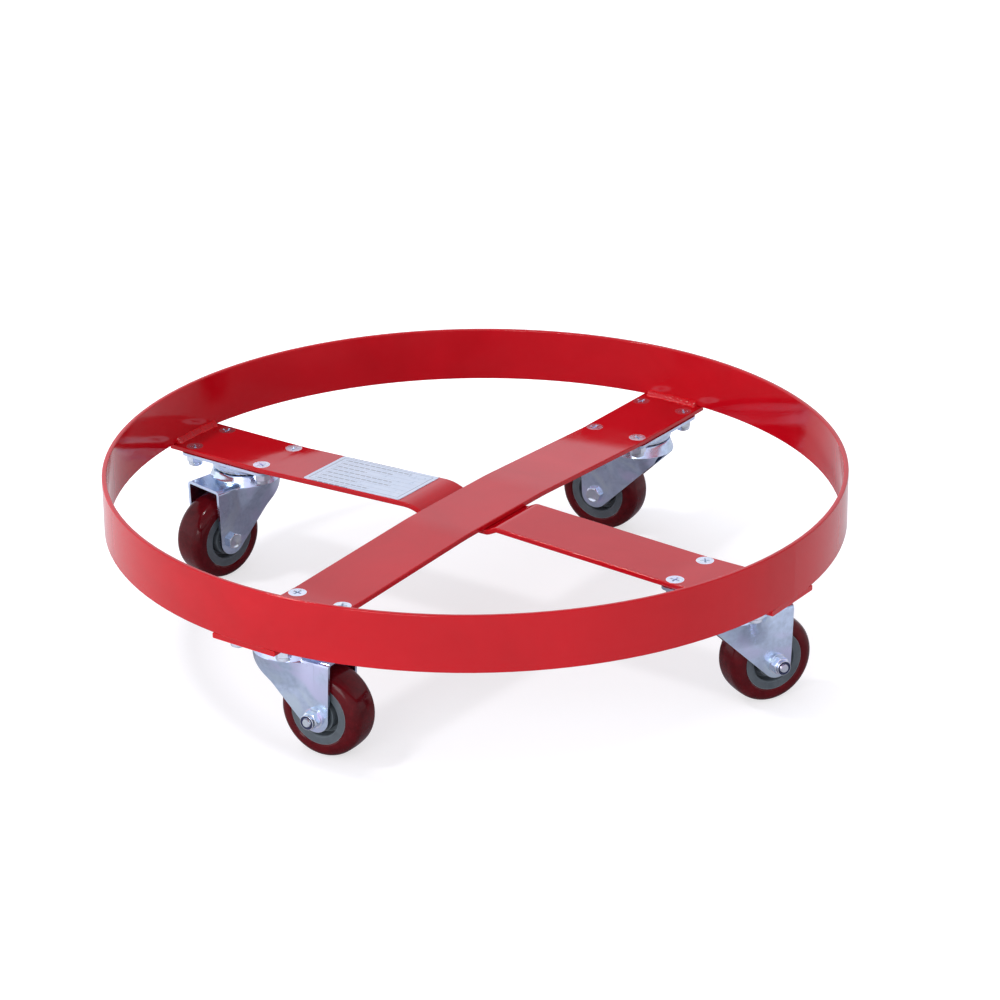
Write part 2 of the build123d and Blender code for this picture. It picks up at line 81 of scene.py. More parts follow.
# lock nuts and bolts (M8)
thread_radius = 4.0 * MM
thread_pitch = 1.25 * MM
thread_depth = 0.45 * MM
nut_flat_radius = 6.5 * MM
nut_hex_height = 6.5 * MM
nut_height = 9.5 * MM
nut_collar_radius = 6.2 * MM
nut_lip_radius = 5.85 * MM
nut_seat_chamfer = 0.6 * MM
hex_corner_radius = nut_flat_radius / cos(pi / 6)
washer_thickness = 1.4 * MM
bolt_head_height = 4.0 * MM
bolt_protrusion = 0.8 * MM
plate_bolt_spacing = (75.0 * MM, 45.0 * MM)

# weld beads
ring_bead_leg = 4.5 * MM
crossing_bead_leg = 3.5 * MM
bead_margin = 4.0 * MM
ripple_pitch = 1.9 * MM
ripple_height = 0.10

# forks: pressed sheet with a round crown, a level shelf behind it and two legs
sheet_thickness = 2.5 * MM
leg_face_offset = 20.5 * MM
shelf_height = 87.0 * MM
shelf_bend = 4.0 * MM
crown_top = 93.2 * MM
crown_rim = (28.0 * MM, 91.8 * MM)
crown_skirt = (31.0 * MM, 83.5 * MM)
crown_hole = 9.2 * MM
shoulder_foot = 58.0 * MM
ball_circle, ball_height, groove_radius = 22.0 * MM, 94.0 * MM, 3.03 * MM
fork_trail, axle_height, eye_radius = 34.0 * MM, 37.5 * MM, 12.8 * MM
fork_back = 48.5 * MM
crown_rim_fillet = 1.0 * MM
shelf_fillet = 1.5 * MM
leg_fillet = 4.0 * MM  # on the plan, where the crown's circle flows into the leg
leg_front, leg_front_curve = -12.0 * MM, 30.0  # ahead of it the leg curves inwards
front_lip_end = -20.0 * MM
front_lip_start, front_lip_run = 15.0 * MM, 4.0 * MM
shoulder_power = 1.4

# places read from the frame
joints = {joint["name"]: joint for joint in frame["joints"]}
casters = [name.removesuffix("_wheel_spin") for name in joints if name.endswith("_wheel_spin")]
bar_low, bar_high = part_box("straight_crossbar")
ring_low, ring_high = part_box("ring")
bar_half_width = bar_high.x
bar_end_top = ring_low.z
plate_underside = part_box("plate_nuts")[1].z
crossing_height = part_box("weld_beads")[0].z + crossing_bead_leg
label_low, label_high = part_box("data_plate")


# ---------------------------------------------------------------- meshes
def grid_faces(rows, columns):
    """Quads of a grid of points that closes round its columns and stays open at its first and last rows."""
    row, column = np.meshgrid(np.arange(rows - 1), np.arange(columns), indexing="ij")
    here = row * columns + column
    beside = row * columns + (column + 1) % columns
    return np.stack([here, beside, beside + columns, here + columns], -1).reshape(-1, 4)


def sheet_faces(rows, columns):
    """Quads of a grid of points that is open on all four sides."""
    row, column = np.meshgrid(np.arange(rows - 1), np.arange(columns - 1), indexing="ij")
    here = row * columns + column
    return np.stack([here, here + 1, here + columns + 1, here + columns], -1).reshape(-1, 4)


def joined(shells):
    """Several (points, faces) put together as one pair."""
    starts = np.cumsum([0] + [len(points) for points, faces in shells[:-1]])
    points = np.concatenate([points for points, faces in shells])
    faces = np.concatenate([faces + start for (_, faces), start in zip(shells, starts)])
    return points, faces


def placed(shell, matrix):
    """A (points, faces) pair carried into place by a 4x4 matrix."""
    points, faces = shell
    turn = np.array(matrix)
    return points @ turn[:3, :3].T + turn[:3, 3], faces


def make_piece(name, shell, material, body, replaced=(), sharp_angle=35, wall=0.0):
    """A finished mesh piece: seams and poles merged, faces outward, smooth except at sharp edges.

    A skin that is open at its rim gets a wall of its own thickness on its inner side.
    """
    points, faces = shell
    mesh = bpy.data.meshes.new(name)
    mesh.from_pydata(points.tolist(), [], faces.tolist())
    work = bmesh.new()
    work.from_mesh(mesh)
    bmesh.ops.remove_doubles(work, verts=work.verts, dist=0.002 * MM)
    bmesh.ops.recalc_face_normals(work, faces=work.faces)
    if wall:
        bmesh.ops.solidify(work, geom=work.faces[:], thickness=wall)
    work.to_mesh(mesh)
    work.free()
    mesh.shade_smooth()
    mesh.set_sharp_from_angle(angle=radians(sharp_angle))
    piece = bpy.data.objects.new(name, mesh)
    bpy.context.scene.collection.objects.link(piece)
    mesh.materials.append(material)
    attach(piece, body)
    if replaced:
        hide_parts(*replaced)
    return piece


def hexagon(angles):
    """Distance from the axis to a hexagon's side at each angle, with a corner at angle zero."""
    return nut_flat_radius / np.cos(np.mod(angles, pi / 3) - pi / 6)


def turned(outline, angles, hexagonal=False):
    """Points of an outline of (radius, height) pairs carried round the local Z axis.

    On a hexagonal piece no radius passes the hexagon's side, so an outline that leans in at its ends
    cuts the curved chamfers of a nut.
    """
    radius, height = np.array(outline).T
    radius = np.repeat(radius[:, None], len(angles), axis=1)
    height = np.repeat(height[:, None], len(angles), axis=1)
    if hexagonal:
        radius = np.minimum(radius, hexagon(angles)[None, :])
    return np.stack([radius * np.cos(angles), radius * np.sin(angles), height], -1)


def chamfered_hexagon(low, high, low_cut, high_cut, steps=6):
    """Outline of a hexagonal head between two heights: a cone cuts its corners at each end."""
    reach = 1.3 * MM
    share = np.linspace(0, 1, steps)
    lower = [(hex_corner_radius - reach * (1 - t), low + low_cut * t) for t in share]
    upper = [(hex_corner_radius - reach * t, high - high_cut * (1 - t)) for t in share]
    return lower + upper


def lock_nut():
    """A nut on the local floor: chamfered hexagon, then a rounded collar that is rolled in at its lip."""
    angles = np.linspace(0, 2 * pi, 96, endpoint=False)
    turns = np.linspace(0, pi / 2, 6)
    lip_round = nut_collar_radius - nut_lip_radius
    lip = [
        (nut_lip_radius + lip_round * cos(t), nut_height - lip_round * (1 - sin(t))) for t in turns
    ]
    outline = [
        (thread_radius, 0.0),
        *chamfered_hexagon(0.0, nut_hex_height, nut_seat_chamfer, nut_seat_chamfer),
        (nut_collar_radius + 0.25 * MM, nut_hex_height),
        (nut_collar_radius, nut_hex_height + 0.25 * MM),
        *lip,
        (nut_lip_radius - 0.15 * MM, nut_height),
        (nut_lip_radius - 0.15 * MM, nut_height - 0.7 * MM),
        (thread_radius, nut_height - 0.7 * MM),
        (thread_radius, 0.0),
    ]
    return turned(outline, angles, hexagonal=True).reshape(-1, 3), grid_faces(len(outline), len(angles))


def nut_insert():
    """The nylon ring inside a lock nut's collar, just below its lip, with a rounded top."""
    angles = np.linspace(0, 2 * pi, 64, endpoint=False)
    outer = nut_lip_radius - 0.15 * MM
    middle = (outer + thread_radius) / 2
    half = (outer - thread_radius) / 2
    low = nut_height - 0.69 * MM
    arc = [(middle + half * cos(t), low + 0.15 * MM + 0.35 * MM * sin(t)) for t in np.linspace(0, pi, 9)]
    outline = [(thread_radius, low), (outer, low), *arc, (thread_radius, low)]
    return turned(outline, angles).reshape(-1, 3), grid_faces(len(outline), len(angles))


def threaded(low, high, angles):
    """A screw thread between two heights: the radius dips once for each pitch along and each turn round."""
    heights = np.arange(low, high, thread_pitch / 8)
    phase = heights[:, None] / thread_pitch - angles[None, :] / (2 * pi)
    dip = np.abs(2 * np.mod(phase, 1) - 1)
    radius = thread_radius - thread_depth * dip
    height = np.repeat(heights[:, None], len(angles), axis=1)
    return np.stack([radius * np.cos(angles), radius * np.sin(angles), height], -1)


def axle_bolt(head_face, tail_end, thread_start):
    """Hexagon-head bolt along local Z: tip at tail_end, thread up to thread_start, head above head_face."""
    angles = np.linspace(0, 2 * pi, 96, endpoint=False)
    tip = 0.8 * MM
    dish = 0.25 * MM
    tail = turned([(0, tail_end), (thread_radius - tip, tail_end)], angles)
    thread = threaded(tail_end + tip, thread_start, angles)
    shank = turned([(thread_radius, thread_start), (thread_radius, head_face)], angles)
    head_top = head_face + bolt_head_height
    outline = [
        *chamfered_hexagon(head_face, head_top, 0.05 * MM, 0.7 * MM),
        (nut_flat_radius * 0.86, head_top),
        (nut_flat_radius * 0.80, head_top - dish),
        (0, head_top - dish),
    ]
    head = turned(outline, angles, hexagonal=True)
    points = np.concatenate([tail, thread, shank, head])
    return points.reshape(-1, 3), grid_faces(len(points), len(angles))


def blended_top(first, second, blend):
    """The higher of two heights, with a fillet about as wide as blend where they cross."""
    return (first + second + np.sqrt((first - second) ** 2 + blend**2) - blend * 0.3) / 2


def crown_height(x, y):
    """Height of the fork's sheet at a place on the plan, the swivel axis being at the origin.

    Level crown with a groove for the balls, then a skirt that falls in a straight line to its foot.
    Behind the axis the shelf, whose long edges are bent down in a quarter circle, meets the skirt.
    """
    radius = np.hypot(x, y)
    slope = (crown_rim[1] - crown_skirt[1]) / (crown_skirt[0] - crown_rim[0])
    skirt = crown_rim[1] - (radius - crown_rim[0]) * slope
    crown = -blended_top(-crown_top * np.ones_like(radius), -skirt, crown_rim_fillet)
    across = np.abs(radius - ball_circle)
    groove = ball_height - np.sqrt(np.clip(groove_radius**2 - across**2, 0, None))
    crown = np.where(across < groove_radius, np.minimum(crown, groove), crown)
    beyond = np.clip(np.abs(y) - (leg_face_offset - shelf_bend), 0, shelf_bend)
    shelf = shelf_height - shelf_bend + np.sqrt(shelf_bend**2 - beyond**2)
    return np.where(x > 0, blended_top(crown, shelf, shelf_fillet), crown)


def fork_skin():
    """Outer face of a fork, its swivel axis at the origin and its wheel towards +X.

    Columns run from the front of the crown back along one side. Each climbs the leg and then crosses
    the top to the middle. The plan of the top is a circle that flows into the straight leg. Lower
    down, the plan falls back to the leg's flat face by the share of the height, to shoulder_power, so
    the shoulder has no crease. The lower edge is a line down the front and half a circle at the eye.
    """
    turns = np.linspace(pi, pi / 2, 56)
    reach = fork_trail + eye_radius
    back = reach * np.sin(np.linspace(0, pi / 2, 110))[1:]
    x = np.concatenate([crown_skirt[0] * np.cos(turns), back])
    circle = np.sqrt(np.clip(crown_skirt[0] ** 2 - x**2, 0, None))
    top_y = np.where(x > 0, blended_top(circle, leg_face_offset * np.ones_like(x), leg_fillet), circle)
    top_y[x > fork_trail] = leg_face_offset
    inward = np.clip(leg_front - x, 0, None)
    side = np.where(x < 0, circle, leg_face_offset)
    leg_y = np.minimum(leg_face_offset - leg_front_curve * inward**2, side)
    # lower edge
    to_eye = np.array([fork_trail + crown_skirt[0], axle_height - crown_skirt[1]])
    lean = np.arctan2(to_eye[1], to_eye[0]) - np.arcsin(eye_radius / np.hypot(*to_eye))
    line = crown_skirt[1] + (x + crown_skirt[0]) * np.tan(lean)
    touch = fork_trail + eye_radius * np.sin(lean)
    eye = axle_height - np.sqrt(np.clip(eye_radius**2 - (x - fork_trail) ** 2, 0, None))
    low = np.where(x < touch, line, eye)
    opened = np.clip((circle - front_lip_start) / front_lip_run, 0, 1)
    low = np.where(x < front_lip_end, crown_skirt[1] + (low - crown_skirt[1]) * opened, low)
    high = crown_height(x, top_y)
    low = np.minimum(low, high)
    # legs
    share = np.linspace(0, 1, 64)[:, None]
    z = low + (high - low) * share
    rise = np.clip((z - shoulder_foot) / (crown_skirt[1] - shoulder_foot), 0, 1) ** shoulder_power
    leg = np.stack([np.broadcast_to(x, z.shape), leg_y + (top_y - leg_y) * rise, z], -1)
    # top, from the side in to the middle or to the hole for the kingpin
    inner = np.sqrt(np.clip(crown_hole**2 - x**2, 0, None)) / np.maximum(top_y, 0.1 * MM)
    inward_share = (np.linspace(0, 1, 48) ** 1.7)[1:, None]
    q = 1 - (1 - inner) * inward_share
    top_x = np.broadcast_to(x, q.shape)
    top = np.stack([top_x, q * top_y, crown_height(top_x, q * top_y)], -1)
    points = np.concatenate([leg, top])
    # the back edge leans out a little as it rises
    lean_out = np.clip((points[..., 2] - axle_height) / (crown_skirt[1] - axle_height), 0, 1)
    points[..., 0] += (fork_back - reach) * lean_out * np.clip(points[..., 0] / reach, 0, 1) ** 3
    mirrored = points * np.array([1, -1, 1])
    rows, columns = points.shape[:2]
    faces = sheet_faces(rows, columns)
    return joined([(points.reshape(-1, 3), faces), (mirrored.reshape(-1, 3), faces[:, ::-1])])


def weld_bead(corner, out, up, length, leg, seed):
    """A fillet weld in a corner, as wide as a quarter circle round it.

    The section is a quarter circle of radius leg between the directions out and up. The radius swells
    and dips in crescent ripples whose front bends over the section, wanders slowly along the bead,
    grows a little into a blob just before each end, and falls to nothing there as an ellipse does.
    corner, out and up are functions of the share of the way along, from 0 to 1.
    """
    random = np.random.default_rng(seed)
    steps, across = int(length / (0.3 * MM)), 15
    share = np.linspace(0, 1, steps)
    turn = np.linspace(0, pi / 2, across)
    distance = (share * length)[:, None]
    crescent = distance / ripple_pitch + 0.55 * np.sin(2 * turn)[None, :]
    ripple = ripple_height * (np.abs(np.sin(pi * crescent)) - 0.6)
    wander = sum(
        size * np.sin(2 * pi * distance / wave + random.uniform(0, 2 * pi))
        for size, wave in ((0.07, 17 * MM), (0.05, 9 * MM), (0.03, 5.3 * MM))
    )
    from_end = np.minimum(distance, length - distance)
    blob = 0.16 * np.exp(-((from_end - 2.2 * MM) ** 2) / (2 * (1.6 * MM) ** 2))
    cap = np.sqrt(np.clip(1 - np.clip(1 - from_end / (2.4 * MM), 0, 1) ** 2, 0, 1))
    flat = 1 - 0.16 * np.sin(2 * turn)[None, :]
    radius = leg * cap * flat * (0.94 + ripple + wander + blob)
    sideways = radius * np.cos(turn)
    upwards = radius * np.sin(turn)
    surface = (
        corner(share)[:, None, :]
        + sideways[..., None] * out(share)[:, None, :]
        + upwards[..., None] * up[None, None, :]
    )
    root = corner(share)[:, None, :]
    points = np.concatenate([surface, root], axis=1)
    return points.reshape(-1, 3), grid_faces(steps, across + 1)


def ring_weld(place, seed):
    """The bead along the inside of the ring on top of the bar end at this angle."""
    inner_radius = ring_high.x - 4 * MM
    half_angle = np.arcsin((bar_half_width - bead_margin) / inner_radius)

    def bearing(share):
        return place + half_angle * (2 * share - 1)

    def corner(share):
        a = bearing(share)
        height = np.full_like(a, bar_end_top)
        return np.stack([inner_radius * np.cos(a), inner_radius * np.sin(a), height], -1)

    def inward(share):
        a = bearing(share)
        return np.stack([-np.cos(a), -np.sin(a), np.zeros_like(a)], -1)

    length = 2 * half_angle * inner_radius
    return weld_bead(corner, inward, np.array([0, 0, 1.0]), length, ring_bead_leg, seed)


def crossing_weld(side, seed):
    """The bead under the straight bar, along one edge of the joggled bar."""
    half_length = bar_half_width - bead_margin

    def corner(share):
        x = half_length * (2 * share - 1)
        return np.stack([x, np.full_like(x, side * bar_half_width), np.full_like(x, crossing_height)], -1)

    def outward(share):
        return np.stack([np.zeros_like(share), np.full_like(share, side), np.zeros_like(share)], -1)

    return weld_bead(corner, outward, np.array([0, 0, -1.0]), 2 * half_length, crossing_bead_leg, seed)


# ---------------------------------------------------------------- shader helpers
def add(tree, kind, inputs=None, **settings):
    """Adds a node. inputs maps a socket's name or number to a value, or to a socket to link from."""
    new = tree.nodes.new(kind)
    for key, value in settings.items():
        setattr(new, key, value)
    for key, value in (inputs or {}).items():
        if isinstance(value, bpy.types.NodeSocket):
            tree.links.new(value, new.inputs[key])
        else:
            new.inputs[key].default_value = value
    return new


def calc(tree, operation, *values, clamp=False):
    """One Math node's output."""
    inputs = dict(enumerate(values))
    return add(tree, "ShaderNodeMath", inputs, operation=operation, use_clamp=clamp).outputs[0]


def noise(tree, vector, scale, detail=3.0, roughness=0.5, distortion=0.0):
    """One Noise Texture's value, with its scale in patches per metre."""
    values = {
        "Vector": vector,
        "Scale": scale,
        "Detail": detail,
        "Roughness": roughness,
        "Distortion": distortion,
    }
    return add(tree, "ShaderNodeTexNoise", values).outputs[0]


def stretch(tree, value, low, high, new_low=0.0, new_high=1.0):
    """The value from low to high carried to new_low to new_high, and held there beyond."""
    inputs = {0: value, 1: low, 2: high, 3: new_low, 4: new_high}
    return add(tree, "ShaderNodeMapRange", inputs, clamp=True).outputs[0]


def mix(tree, share, first, second, blend="MIX"):
    """Two colours mixed by share."""
    inputs = {0: share, 6: first, 7: second}
    return add(tree, "ShaderNodeMix", inputs, data_type="RGBA", blend_type=blend).outputs[2]


def rgb(red, green, blue):
    """A colour with full alpha."""
    return (red, green, blue, 1.0)


def new_group(name, inputs, outputs):
    """An empty shader node group with float, vector or colour sockets, as (tree, inputs, output node)."""
    tree = bpy.data.node_groups.new(name, "ShaderNodeTree")
    for label, kind, value in inputs:
        socket = tree.interface.new_socket(label, in_out="INPUT", socket_type=kind)
        if value is not None:
            socket.default_value = value
    for label, kind in outputs:
        tree.interface.new_socket(label, in_out="OUTPUT", socket_type=kind)
    return tree, tree.nodes.new("NodeGroupInput").outputs, tree.nodes.new("NodeGroupOutput")


def edge_group():
    """Mask of outer and inner edges: how far the normal of a rounded surface leans from the true one."""
    tree, inputs, out = new_group(
        "edge_mask",
        [("Radius", "NodeSocketFloat", 1 * MM), ("Gain", "NodeSocketFloat", 4.0)],
        [("Mask", "NodeSocketFloat")],
    )
    rounded = add(tree, "ShaderNodeBevel", {"Radius": inputs["Radius"]}, samples=6).outputs[0]
    true = add(tree, "ShaderNodeNewGeometry").outputs["Normal"]
    agreement = add(tree, "ShaderNodeVectorMath", {0: rounded, 1: true}, operation="DOT_PRODUCT")
    lean = calc(tree, "SUBTRACT", 1.0, agreement.outputs["Value"])
    mask = calc(tree, "MULTIPLY", lean, inputs["Gain"], clamp=True)
    tree.links.new(mask, out.inputs["Mask"])
    return tree


def mottle_group():
    """Blotches at two sizes, added up and spread over the whole range from 0 to 1."""
    tree, inputs, out = new_group(
        "mottle",
        [
            ("Vector", "NodeSocketVector", None),
            ("Scale", "NodeSocketFloat", 40.0),
            ("Fine share", "NodeSocketFloat", 0.35),
        ],
        [("Value", "NodeSocketFloat")],
    )
    coarse = noise(tree, inputs["Vector"], inputs["Scale"], detail=4.0, roughness=0.6, distortion=0.6)
    fine_scale = calc(tree, "MULTIPLY", inputs["Scale"], 6.5)
    fine = noise(tree, inputs["Vector"], fine_scale, detail=2.0)
    both = add(
        tree, "ShaderNodeMix", {0: inputs["Fine share"], 2: coarse, 3: fine}, data_type="FLOAT"
    ).outputs[0]
    tree.links.new(stretch(tree, both, 0.33, 0.67), out.inputs["Value"])
    return tree


def grain_group():
    """Height of fine scratches: noise drawn out many times along one direction, at two sizes."""
    tree, inputs, out = new_group(
        "rolled_grain",
        [("Vector", "NodeSocketVector", None), ("Scale", "NodeSocketFloat", 300.0)],
        [("Height", "NodeSocketFloat")],
    )
    drawn = add(
        tree, "ShaderNodeVectorMath", {0: inputs["Vector"], 1: (1.0, 1.0, 0.06)}, operation="MULTIPLY"
    ).outputs[0]
    coarse = noise(tree, drawn, inputs["Scale"], detail=2.0)
    fine = noise(tree, drawn, calc(tree, "MULTIPLY", inputs["Scale"], 4.0), detail=2.0)
    tree.links.new(calc(tree, "MULTIPLY_ADD", fine, 0.5, coarse), out.inputs["Height"])
    return tree


EDGE = edge_group()
MOTTLE = mottle_group()
GRAIN = grain_group()


def use(tree, group, inputs):
    """One group placed in a material, as its first output."""
    placed_group = tree.nodes.new("ShaderNodeGroup")
    placed_group.node_tree = group
    for key, value in inputs.items():
        if isinstance(value, bpy.types.NodeSocket):
            tree.links.new(value, placed_group.inputs[key])
        else:
            placed_group.inputs[key].default_value = value
    return placed_group.outputs[0]


def new_material(name, constants):
    """An empty material as (material, tree, Principled node, Object coordinates)."""
    material = bpy.data.materials.new(name)
    material.use_nodes = True
    tree = material.node_tree
    shader = tree.nodes["Principled BSDF"]
    for key, value in constants.items():
        shader.inputs[key].default_value = value
    where = add(tree, "ShaderNodeTexCoord").outputs["Object"]
    return material, tree, shader, where


def bump(tree, shader, height, distance, strength=1.0, normal=None):
    """A Bump node whose height is in units of distance, joined to the shader's normal."""
    inputs = {"Height": height, "Distance": distance, "Strength": strength}
    if normal is not None:
        inputs["Normal"] = normal
    out = add(tree, "ShaderNodeBump", inputs).outputs[0]
    tree.links.new(out, shader.inputs["Normal"])
    return out


# ---------------------------------------------------------------- materials
def red_enamel():
    """Gloss paint: slightly wavy steel under it, faint orange peel, and a painted highlight of bright pure
    red on the edges.
    """
    material, tree, shader, where = new_material(
        "red_enamel", {"Metallic": 0.0, "Specular IOR Level": 0.33}
    )
    blotches = use(tree, MOTTLE, {"Vector": where, "Scale": 7.0, "Fine share": 0.1})
    body = mix(tree, blotches, rgb(0.44, 0.0020, 0.0070), rgb(0.54, 0.0030, 0.0100))
    # painted highlight: where the rounded normal leans, the edges are mixed towards a bright pure red
    edge_highlight_mask = use(tree, EDGE, {"Radius": 1.5 * MM, "Gain": 3.5})
    colour = mix(tree, calc(tree, "MULTIPLY", edge_highlight_mask, 0.9), body, rgb(0.82, 0.001, 0.002))
    tree.links.new(colour, shader.inputs["Base Color"])
    haze = use(tree, MOTTLE, {"Vector": where, "Scale": 16.0, "Fine share": 0.3})
    tree.links.new(stretch(tree, haze, 0.0, 1.0, 0.05, 0.13), shader.inputs["Roughness"])
    waves = noise(tree, where, 14.0, detail=1.0)
    wavy = bump(tree, shader, waves, 0.7 * MM, 0.4)
    peel = noise(tree, where, 420.0, detail=2.0, roughness=0.4)
    bump(tree, shader, peel, 0.008 * MM, 0.5, wavy)
    return material


def zinc(name, tint, scale, roughness):
    """Bright zinc plate: bluish grey with mauve and straw blotches, rolled grain, and a painted highlight of
    near-white on the edges.
    """
    material, tree, shader, where = new_material(name, {"Metallic": 1.0})
    blotches = use(tree, MOTTLE, {"Vector": where, "Scale": scale, "Fine share": 0.45})
    hue = noise(tree, where, scale * 0.6, detail=2.0, distortion=1.0)
    cold = mix(tree, blotches, rgb(*(0.72 * c for c in tint)), rgb(*tint))
    warm_tint = rgb(tint[0] * 1.03, tint[1] * 0.90, tint[2] * 0.96)
    straw_tint = rgb(tint[0], tint[1], tint[2] * 0.90)
    warm = mix(tree, stretch(tree, hue, 0.52, 0.68), cold, warm_tint)
    straw = mix(tree, stretch(tree, hue, 0.42, 0.30), warm, straw_tint)
    # painted highlight: where the rounded normal leans, the edges are mixed towards near-white
    edge_highlight_mask = use(tree, EDGE, {"Radius": 0.7 * MM, "Gain": 4.0})
    colour = mix(tree, calc(tree, "MULTIPLY", edge_highlight_mask, 0.75), straw, rgb(0.90, 0.92, 0.95))
    tree.links.new(colour, shader.inputs["Base Color"])
    rough = stretch(tree, blotches, 0.0, 1.0, roughness + 0.07, roughness - 0.06)
    tree.links.new(rough, shader.inputs["Roughness"])
    grain = use(tree, GRAIN, {"Vector": where, "Scale": 260.0})
    dimples = noise(tree, where, 90.0, detail=3.0)
    soft = bump(tree, shader, dimples, 0.16 * MM, 0.5)
    bump(tree, shader, grain, 0.010 * MM, 0.6, soft)
    return material


def polyurethane():
    """Maroon cast tread: gloss skin, deeper in blotches, with a little dust scuffed into it."""
    material, tree, shader, where = new_material(
        "maroon_polyurethane", {"Metallic": 0.0, "Specular IOR Level": 0.15}
    )
    blotches = use(tree, MOTTLE, {"Vector": where, "Scale": 30.0, "Fine share": 0.4})
    body = mix(tree, blotches, rgb(0.058, 0.0022, 0.0042), rgb(0.112, 0.0042, 0.0075))
    dust = stretch(tree, noise(tree, where, 700.0, detail=3.0, roughness=0.7), 0.58, 0.74)
    colour = mix(tree, calc(tree, "MULTIPLY", dust, 0.10), body, rgb(0.20, 0.07, 0.09))
    tree.links.new(colour, shader.inputs["Base Color"])
    tree.links.new(stretch(tree, blotches, 0.0, 1.0, 0.08, 0.17), shader.inputs["Roughness"])
    skin = noise(tree, where, 160.0, detail=4.0, roughness=0.6)
    bump(tree, shader, skin, 0.10 * MM, 0.5)
    return material


def grey_core():
    """Moulded grey nylon: satin, faint flow marks, and a painted highlight that makes the edges paler."""
    material, tree, shader, where = new_material("grey_core", {"Metallic": 0.0, "Specular IOR Level": 0.35})
    flow = use(tree, MOTTLE, {"Vector": where, "Scale": 45.0, "Fine share": 0.3})
    body = mix(tree, flow, rgb(0.072, 0.088, 0.100), rgb(0.112, 0.134, 0.150))
    # painted highlight: where the rounded normal leans, the edges are mixed towards a pale grey
    edge_highlight_mask = use(tree, EDGE, {"Radius": 0.8 * MM, "Gain": 3.5})
    colour = mix(tree, calc(tree, "MULTIPLY", edge_highlight_mask, 0.75), body, rgb(0.33, 0.40, 0.41))
    tree.links.new(colour, shader.inputs["Base Color"])
    tree.links.new(stretch(tree, flow, 0.0, 1.0, 0.32, 0.48), shader.inputs["Roughness"])
    bump(tree, shader, noise(tree, where, 1100.0, detail=2.0), 0.02 * MM, 0.6)
    return material


def bearing_steel():
    """Ground steel: close turning marks, thin oil film in blotches."""
    material, tree, shader, where = new_material("bearing_steel", {"Metallic": 1.0})
    film = use(tree, MOTTLE, {"Vector": where, "Scale": 90.0, "Fine share": 0.4})
    colour = mix(tree, film, rgb(0.40, 0.40, 0.42), rgb(0.56, 0.56, 0.57))
    tree.links.new(colour, shader.inputs["Base Color"])
    tree.links.new(stretch(tree, film, 0.0, 1.0, 0.16, 0.32), shader.inputs["Roughness"])
    bump(tree, shader, noise(tree, where, 1500.0, detail=2.0), 0.006 * MM, 0.5)
    return material


def nylon_insert():
    """Navy nylon ring of a lock nut."""
    material, tree, shader, where = new_material("nylon_insert", {"Metallic": 0.0})
    flow = noise(tree, where, 400.0, detail=3.0)
    colour = mix(tree, flow, rgb(0.006, 0.010, 0.045), rgb(0.012, 0.022, 0.085))
    tree.links.new(colour, shader.inputs["Base Color"])
    tree.links.new(stretch(tree, flow, 0.3, 0.7, 0.30, 0.45), shader.inputs["Roughness"])
    bump(tree, shader, flow, 0.02 * MM, 0.4)
    return material


def data_plate():
    """Silvery foil label with a blank ruled form on it: border, rules, and plain grey bars, no lettering."""
    material, tree, shader, where = new_material("silver_label", {"Metallic": 0.0, "Coat Weight": 0.3})
    centre = (label_low + label_high) / 2
    size = label_high - label_low
    spot = add(
        tree,
        "ShaderNodeMapping",
        {0: where, 1: (-centre.x, -centre.y, 0.0)},
    ).outputs[0]
    parts = add(tree, "ShaderNodeSeparateXYZ", {0: spot}).outputs
    along = calc(tree, "DIVIDE", parts[0], size.x)
    across = calc(tree, "DIVIDE", parts[1], size.y)
    # border: both distances from the middle compared with a frame just inside the label's edge
    from_end = calc(tree, "ABSOLUTE", along)
    from_side = calc(tree, "ABSOLUTE", across)
    past_end = calc(tree, "SUBTRACT", from_end, 0.462)
    past_side = calc(tree, "SUBTRACT", from_side, 0.44)
    edge = calc(tree, "MAXIMUM", past_end, past_side)
    border = calc(tree, "COMPARE", edge, 0.0, 0.004)
    inside = calc(tree, "LESS_THAN", edge, 0.0)
    # seven rows, with a rule between them and a bar of its own length in each
    rows = calc(tree, "MULTIPLY", calc(tree, "ADD", across, 0.44), 8.0)
    row_number = calc(tree, "FLOOR", rows)
    in_row = calc(tree, "FRACT", rows)
    rule = calc(tree, "MULTIPLY", calc(tree, "COMPARE", in_row, 0.0, 0.035), inside)
    length = add(tree, "ShaderNodeTexWhiteNoise", {"W": row_number}, noise_dimensions="1D").outputs[0]
    reach = stretch(tree, length, 0.0, 1.0, -0.10, 0.30)
    bar_band = calc(tree, "COMPARE", in_row, 0.5, 0.14)
    bar_start = calc(tree, "GREATER_THAN", along, -0.42)
    bar_end = calc(tree, "LESS_THAN", along, reach)
    gaps = calc(tree, "GREATER_THAN", calc(tree, "FRACT", calc(tree, "MULTIPLY", along, 17.0)), 0.18)
    started = calc(tree, "MULTIPLY", bar_band, bar_start)
    bars = calc(tree, "MULTIPLY", started, calc(tree, "MULTIPLY", bar_end, gaps))
    ink = calc(tree, "MAXIMUM", calc(tree, "MAXIMUM", border, rule), calc(tree, "MULTIPLY", bars, 0.8))
    sheen = use(tree, MOTTLE, {"Vector": where, "Scale": 30.0, "Fine share": 0.5})
    foil = mix(tree, sheen, rgb(0.50, 0.60, 0.74), rgb(0.62, 0.70, 0.82))
    colour = mix(tree, calc(tree, "MULTIPLY", ink, 0.75), foil, rgb(0.13, 0.15, 0.19))
    tree.links.new(colour, shader.inputs["Base Color"])
    tree.links.new(stretch(tree, sheen, 0.0, 1.0, 0.25, 0.40), shader.inputs["Roughness"])
    bump(tree, shader, noise(tree, where, 250.0, detail=2.0), 0.03 * MM, 0.4)
    return material


